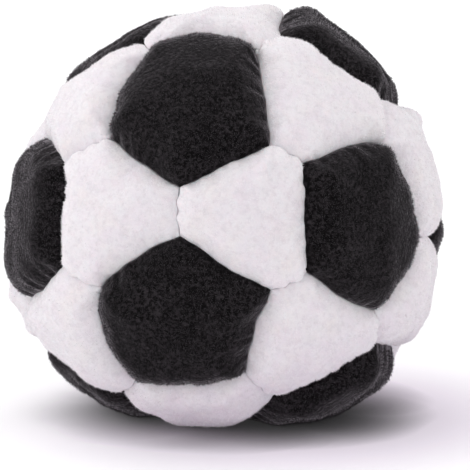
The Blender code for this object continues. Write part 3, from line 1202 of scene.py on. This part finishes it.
def one_tone(weave, share, seed, material):
    """The share of the nap's fibres that has one tone: thin cones, combed over in clumps."""
    blade = weave.made(
        "GeometryNodeMeshCone",
        {"fill_type": "NGON"},
        {
            "Vertices": FIBRE_SIDES,
            "Side Segments": 1,
            "Radius Top": 0.0,
            "Radius Bottom": weave.number("Width") * 0.5,
            "Depth": weave.number("Length"),
        },
    )
    napped = weave.made("GeometryNodeInputNamedAttribute", {"data_type": "FLOAT"}, {"Name": "napped"})
    crown = weave.made("FunctionNodeCompare", {"operation": "GREATER_THAN"}, {0: napped, 1: 0.5})
    spots = weave.node(
        "GeometryNodeDistributePointsOnFaces",
        {"distribute_method": "RANDOM"},
        {
            "Mesh": weave.inputs["Geometry"],
            "Selection": crown,
            "Density": weave.number("Density") * share,
            "Seed": seed,
        },
    ).outputs
    inputs = {"Scale": 1.0 / weave.number("Clump"), "Detail": 1.0}
    clumps = weave.made("ShaderNodeTexNoise", {"noise_dimensions": "3D"}, inputs, "Color")
    combed = weave.vector("SUBTRACT", clumps, (0.5, 0.5, 0.5))
    combed = weave.scaled(combed, weave.number("Lean") * NOISE_GAIN)
    leaning = weave.vector("ADD", combed, weave.strewn((-0.5, -0.5, -0.5), (0.5, 0.5, 0.5), seed))
    direction = weave.vector("ADD", spots["Normal"], leaning)
    upright = weave.made("FunctionNodeAlignRotationToVector", {"axis": "Z"}, {"Vector": direction})
    spin = weave.strewn((0.0, 0.0, -math.pi), (0.0, 0.0, math.pi), seed + SPIN_SEED_STEP)
    inputs = {"Rotation": upright, "Rotate By": spin}
    spun = weave.made("FunctionNodeRotateRotation", {"rotation_space": "LOCAL"}, inputs)
    shortest, longest = FIBRE_LENGTH_SHARES
    inputs = {2: shortest, 3: longest, "Seed": seed + SIZE_SEED_STEP}
    size = weave.made("FunctionNodeRandomValue", {"data_type": "FLOAT"}, inputs, 1)
    return weave.finished(weave.placed(spots["Points"], blade, spun, size), material)


def stitch_weave():
    """Thread that swings from side to side between the seam allowances, along each line."""
    sizes = dict.fromkeys(("Pitch", "Swing", "Thread"), "Float")
    weave = Weave("stitches", {**sizes, "Middle": "Vector", "Material": "Material"})
    pitch = weave.number("Pitch")
    line = weave.made("GeometryNodeMeshToCurve", {}, {0: weave.inputs["Geometry"]})
    inputs = {"Curve": line, "Length": pitch / STITCH_POINTS}
    line = weave.made("GeometryNodeResampleCurve", {"mode": "LENGTH"}, inputs)
    along = weave.value("GeometryNodeSplineParameter", output="Length")
    wave = Value(weave, weave.reckon("SINE", along / pitch * math.tau)) * weave.number("Swing")
    place = weave.made("GeometryNodeInputPosition")
    outward = weave.vector("SUBTRACT", place, weave.inputs["Middle"])
    across = weave.vector("CROSS_PRODUCT", weave.made("GeometryNodeInputTangent"), outward)
    offset = weave.scaled(weave.vector("NORMALIZE", across), wave)
    line = weave.made("GeometryNodeSetPosition", {}, {"Geometry": line, "Offset": offset})
    inputs = {"Resolution": THREAD_SIDES, "Radius": weave.number("Thread") * 0.5}
    ring = weave.made("GeometryNodeCurvePrimitiveCircle", {"mode": "RADIUS"}, inputs)
    inputs = {"Curve": line, "Profile Curve": ring, "Fill Caps": True}
    tube = weave.made("GeometryNodeCurveToMesh", {}, inputs)
    weave.feed(weave.output, weave.finished(tube, weave.inputs["Material"]))
    return weave


def pellet_weave():
    """Lens-shaped pellets on points, each turned its own way."""
    weave = Weave("pellets", {"Width": "Float", "Seed": "Int", "Material": "Material"})
    segments, rings = PELLET_FACES
    inputs = {"Segments": segments, "Rings": rings, "Radius": weave.number("Width") * 0.5}
    pellet = weave.made("GeometryNodeMeshUVSphere", {}, inputs)
    turn = weave.strewn((0.0, 0.0, 0.0), (math.tau, math.tau, math.tau), weave.inputs["Seed"])
    size = weave.strewn(*PELLET_SHARES, weave.number("Seed") + 1.0)
    pellets = weave.placed(weave.inputs["Geometry"], pellet, turn, size)
    weave.feed(weave.output, weave.finished(pellets, weave.inputs["Material"]))
    return weave


def grown_alone(weave, name, draft, **values):
    """A piece that a tree grows from a draft which isn't shown itself."""
    bpy.context.scene.collection.objects.link(draft)
    piece = weave.grown(name, draft, **values)
    bpy.data.objects.remove(draft)
    piece.data.shade_smooth()
    return piece


def thread_finish():
    """Waxed twisted thread."""
    colours = settings("colours")
    finish = Finish("sewing_thread", Specular_IOR_Level=0.4, Coat_Weight=0.2)
    strands = finish.grain(size=0.00018, roughness=0.6)
    dull_spots = finish.grain(size=0.0020, detail=1.0)
    # Painted shade between the strands, on the same grain as their bump
    between = finish.spread(strands, low=0.4, high=0.7)
    finish.relief(strands, depth=0.00004, strength=0.5)
    body = finish.blend(between, rgb(colours.thread), rgb(colours.thread_shade))
    return finish.paint(Base_Color=body, Roughness=finish.ranged(dull_spots, least=0.5, swing=0.2))


def pellet_finish():
    """Milky plastic pellets of slightly mixed batches."""
    colours = settings("colours")
    finish = Finish("pellets", Specular_IOR_Level=0.5)
    batch = finish.spread(finish.grain(size=0.0030, detail=1.0), low=0.4, high=0.6)
    dust = finish.grain(size=0.00040)
    finish.relief(dust, depth=0.00003, strength=0.3)
    body = finish.blend(batch, rgb(colours.pellet), rgb(colours.pellet_dull))
    return finish.paint(Base_Color=body, Roughness=finish.ranged(dust, least=0.35, swing=0.2))


def fibre(name, colour):
    """The finish of one tone of nap fibres, a little darker here and there."""
    finish = Finish(name, Specular_IOR_Level=0.05, Roughness=0.8, Sheen_Weight=0.1, Sheen_Roughness=0.5)
    shade = finish.spread(finish.grain(size=0.0010), low=0.4, high=0.7)
    darker = rgb([share * FIBRE_SHADE for share in colour])
    return finish.paint(Base_Color=finish.blend(shade * FIBRE_SHADE_SHARE, rgb(colour), darker))


def black_suede():
    """Napped black cloth, heathered with paler fibres."""
    colours = settings("colours")
    finish = Finish(
        "black_suede",
        Specular_IOR_Level=0.06,
        Sheen_Weight=0.72,
        Sheen_Roughness=0.36,
        Sheen_Tint=(0.80, 0.74, 0.80, 1.0),
    )
    clumps = finish.grain(size=0.00046)
    fibres = finish.grain(size=0.00022, roughness=0.6)
    # Lighter nap tips over a far darker ground, on the same grain as the bump: partly the cloth's own tones,
    # partly painted shade in the gaps between the clumps
    nap_tips_and_gap_shade = finish.spread(clumps, low=0.40, high=0.70)
    patches = finish.spread(finish.grain(size=0.0040), low=0.4, high=0.65)
    flecks = finish.spread(finish.grain(size=0.00060, roughness=0.6), low=0.52, high=0.80)
    patch_share, fleck_share = 0.45, 0.4
    body = finish.blend(nap_tips_and_gap_shade, rgb(colours.black), rgb(colours.black_nap))
    body = finish.blend(patches * patch_share, body, rgb(colours.black))
    body = finish.blend(flecks * fleck_share, body, rgb(colours.black_fleck))
    finish.relief(finish.mixed(clumps, fibres, share=0.85), depth=0.00015, strength=1.0)
    return finish.paint(Base_Color=body, Roughness=finish.ranged(fibres, least=0.82, swing=0.14))


def white_suede():
    """Napped white cloth, faintly mottled towards lavender and warm grey, with painted shade among its
    clumps of nap.
    """
    colours = settings("colours")
    finish = Finish(
        "white_suede",
        Specular_IOR_Level=0.2,
        Sheen_Weight=0.25,
        Sheen_Roughness=0.5,
        Subsurface_Weight=0.6,
        Subsurface_Radius=(0.0010, 0.0008, 0.0008),
        Subsurface_Scale=1.0,
    )
    clumps = finish.grain(size=0.00072, detail=3.0, roughness=0.65)
    fibres = finish.grain(size=0.00022, roughness=0.6)
    cool = finish.spread(finish.grain(size=0.0028, detail=3.0, roughness=0.55), low=0.38, high=0.68)
    warm = finish.spread(finish.grain(size=0.0042), low=0.5, high=0.75)
    # Painted shade among the clumps of nap, on the same grain as the bump
    between = finish.spread(clumps, low=0.42, high=0.72)
    warm_share, shade_share = 0.6, 0.55
    body = finish.blend(cool, rgb(colours.white), rgb(colours.white_rose))
    body = finish.blend(warm * warm_share, body, rgb(colours.white_warm))
    body = finish.blend(between * shade_share, body, rgb(colours.white_shade))
    finish.relief(finish.mixed(clumps, fibres, share=0.75), depth=0.00024, strength=0.9)
    return finish.paint(Base_Color=body, Roughness=finish.ranged(fibres, least=0.85, swing=0.12))


def floor_finish():
    """Pale matt floor that the camera sees as white away from the bag's shadow."""
    stage = settings("stage")
    finish = Finish("floor", Specular_IOR_Level=0.0, Roughness=1.0)
    shown = finish.shows_background()
    toward = finish.made("ShaderNodeCombineXYZ", {}, dict(zip("XYZ", SHADE_TILT)))
    near, around = (
        finish.value(
            "ShaderNodeAmbientOcclusion",
            {"samples": SHADE_SAMPLES},
            {"Distance": reach, "Normal": toward},
            "AO",
        )
        for reach in (stage.contact_reach, stage.shade_reach)
    )
    # Painted shadow: near the bag, ambient occlusion darkens the colour that the camera sees, towards black
    # at the contact, and tints it towards the floor's shade colour farther out
    clear = 1 - shown * (1 - near**stage.contact_depth * (1 - (1 - around) * stage.shade_depth))
    inputs = {"Color": WHITE, "Strength": shown * clear * stage.floor_lift}
    lift = finish.made("ShaderNodeEmission", {}, inputs)
    both = finish.made("ShaderNodeAddShader", {}, {0: finish.shader.outputs[0], 1: lift})
    finish.feed(finish.output.inputs["Surface"], both)
    tone = finish.blend(finish.spread(around, low=0.45, high=1.0), rgb(stage.floor_shade), rgb(stage.floor))
    return finish.paint(Base_Color=finish.blend(clear, UNLIT, tone))


class FOOTBAG_OT_black_panels(bpy.types.Operator):
    """Sew, fill and finish the twelve black panels"""

    bl_idname = "footbag.black_panels"
    bl_label = "Black panels"

    def execute(self, context):
        colours = settings("colours")
        tones = fibre("black_fibre", colours.black_fibre), fibre("pale_fibre", colours.black_fleck)
        dress("black", black_suede(), settings("nap").length, tones)
        return {"FINISHED"}


class FOOTBAG_OT_white_panels(bpy.types.Operator):
    """Sew, fill and finish the twenty white panels"""

    bl_idname = "footbag.white_panels"
    bl_label = "White panels"

    def execute(self, context):
        colours = settings("colours")
        tones = fibre("white_fibre", colours.white_fibre), fibre("rose_fibre", colours.white_rose)
        dress("white", white_suede(), settings("nap").white_length, tones)
        return {"FINISHED"}


class FOOTBAG_OT_thread(bpy.types.Operator):
    """Sew the thread along all ninety seams"""

    bl_idname = "footbag.thread"
    bl_label = "Sewing thread"

    def execute(self, context):
        seams = settings("seams")
        piece = grown_alone(
            stitch_weave(),
            "sewing_thread",
            thread_lines(),
            Pitch=seams.stitch_pitch,
            Swing=seams.swing,
            Thread=seams.thread,
            Middle=tuple(settings("shape").centre),
            Material=thread_finish(),
        )
        handed_in(piece, "seam_thread")
        return {"FINISHED"}


class FOOTBAG_OT_filling(bpy.types.Operator):
    """Fill the bag with pellets; the panels are sewn first"""

    bl_idname = "footbag.filling"
    bl_label = "Pellet filling"

    def execute(self, context):
        piece = grown_alone(
            pellet_weave(),
            "pellets",
            pellet_draft(),
            Width=settings("filling").pellet,
            Seed=WEAR_SEED,
            Material=pellet_finish(),
        )
        handed_in(piece, "pellet_filling")
        return {"FINISHED"}


class FOOTBAG_OT_stage(bpy.types.Operator):
    """Set up the floor, the lights and the camera"""

    bl_idname = "footbag.stage"
    bl_label = "Stage"

    def execute(self, context):
        camera()
        floor_and_light()
        return {"FINISHED"}


def camera():
    """The camera at the photograph's viewing angle."""
    shape, stage = settings("shape"), settings("stage")
    radius = shape.width / 2
    right = Vector((1, 0, 0))
    up = Vector((0, math.sin(stage.elevation), math.cos(stage.elevation)))
    back = Vector((0, -math.cos(stage.elevation), math.sin(stage.elevation)))
    focal_px = stage.bag_width_px / 2 * math.sqrt((stage.distance / radius) ** 2 - 1)
    middle = PICTURE / 2
    across, down = stage.bag_centre_px
    sight = Vector(((across - middle) / focal_px, (middle - down) / focal_px, -1)).normalized()
    offset = (right * sight.x + up * sight.y + back * sight.z) * stage.distance
    lens = bpy.data.cameras.new("camera")
    lens.sensor_width = SENSOR
    lens.lens = focal_px * SENSOR / PICTURE
    lens.clip_start = stage.distance / SIGHT_RATIO
    lens.clip_end = stage.distance * SIGHT_RATIO
    body = bpy.data.objects.new("camera", lens)
    bpy.context.scene.collection.objects.link(body)
    turn = Matrix((right, up, back)).transposed().to_4x4()
    body.matrix_world = Matrix.Translation(Vector(shape.centre) - offset) @ turn
    bpy.context.scene.camera = body


def floor_and_light():
    """A pale floor, soft lamps from several sides and a white surround."""
    stage = settings("stage")
    far = FLOOR_REACH
    mesh = bpy.data.meshes.new("floor")
    mesh.from_pydata([(-far, -far, 0), (far, -far, 0), (far, far, 0), (-far, far, 0)], [], [(0, 1, 2, 3)])
    mesh.materials.append(floor_finish())
    ground = bpy.data.objects.new("floor", mesh)
    bpy.context.scene.collection.objects.link(ground)
    for name, way, power in LAMPS:
        light = bpy.data.lights.new(name, "SUN")
        light.energy = power
        light.angle = stage.lamp_spread
        lamp = bpy.data.objects.new(name, light)
        lamp.rotation_euler = Vector(way).to_track_quat("-Z", "Y").to_euler()
        bpy.context.scene.collection.objects.link(lamp)
    world = bpy.data.worlds.new("surround")
    world.use_nodes = True
    tree = Tree(world.node_tree)
    glow = world.node_tree.nodes["Background"].inputs
    glow["Color"].default_value = SURROUND_COLOUR
    strength = tree.made("ShaderNodeMix", {}, {0: tree.shows_background(), 2: stage.surround, 3: 1.0})
    tree.feed(glow["Strength"], strength)
    bpy.context.scene.world = world
    bpy.context.scene.view_settings.view_transform = "Standard"


class FOOTBAG_PT_looks(bpy.types.Panel):
    """Lists the steps that dress the bag"""

    bl_idname = "FOOTBAG_PT_looks"
    bl_label = "Footbag"
    bl_space_type = "VIEW_3D"
    bl_region_type = "UI"
    bl_category = "Footbag"

    def draw(self, context):
        for step in STEPS:
            self.layout.operator(step.bl_idname)


GROUPS = {
    "footbag_shape": FootbagShape,
    "footbag_seams": FootbagSeams,
    "footbag_cloth": FootbagCloth,
    "footbag_filling": FootbagFilling,
    "footbag_colours": FootbagColours,
    "footbag_nap": FootbagNap,
    "footbag_stage": FootbagStage,
}
STEPS = (
    FOOTBAG_OT_black_panels,
    FOOTBAG_OT_white_panels,
    FOOTBAG_OT_thread,
    FOOTBAG_OT_filling,
    FOOTBAG_OT_stage,
)
CLASSES = (*GROUPS.values(), *STEPS, FOOTBAG_PT_looks)


def register():
    """Add the settings, the steps and the panel to Blender."""
    for item in CLASSES:
        bpy.utils.register_class(item)
    for name, group in GROUPS.items():
        setattr(bpy.types.Scene, name, PointerProperty(type=group))


def unregister():
    """Take them away again."""
    for name in GROUPS:
        delattr(bpy.types.Scene, name)
    for item in reversed(CLASSES):
        bpy.utils.unregister_class(item)


def main():
    """Dress the bag."""
    register()
    bpy.ops.footbag.stage()
    bpy.ops.footbag.black_panels()
    bpy.ops.footbag.white_panels()
    bpy.ops.footbag.thread()
    bpy.ops.footbag.filling()


if __name__ == "__main__":
    main()
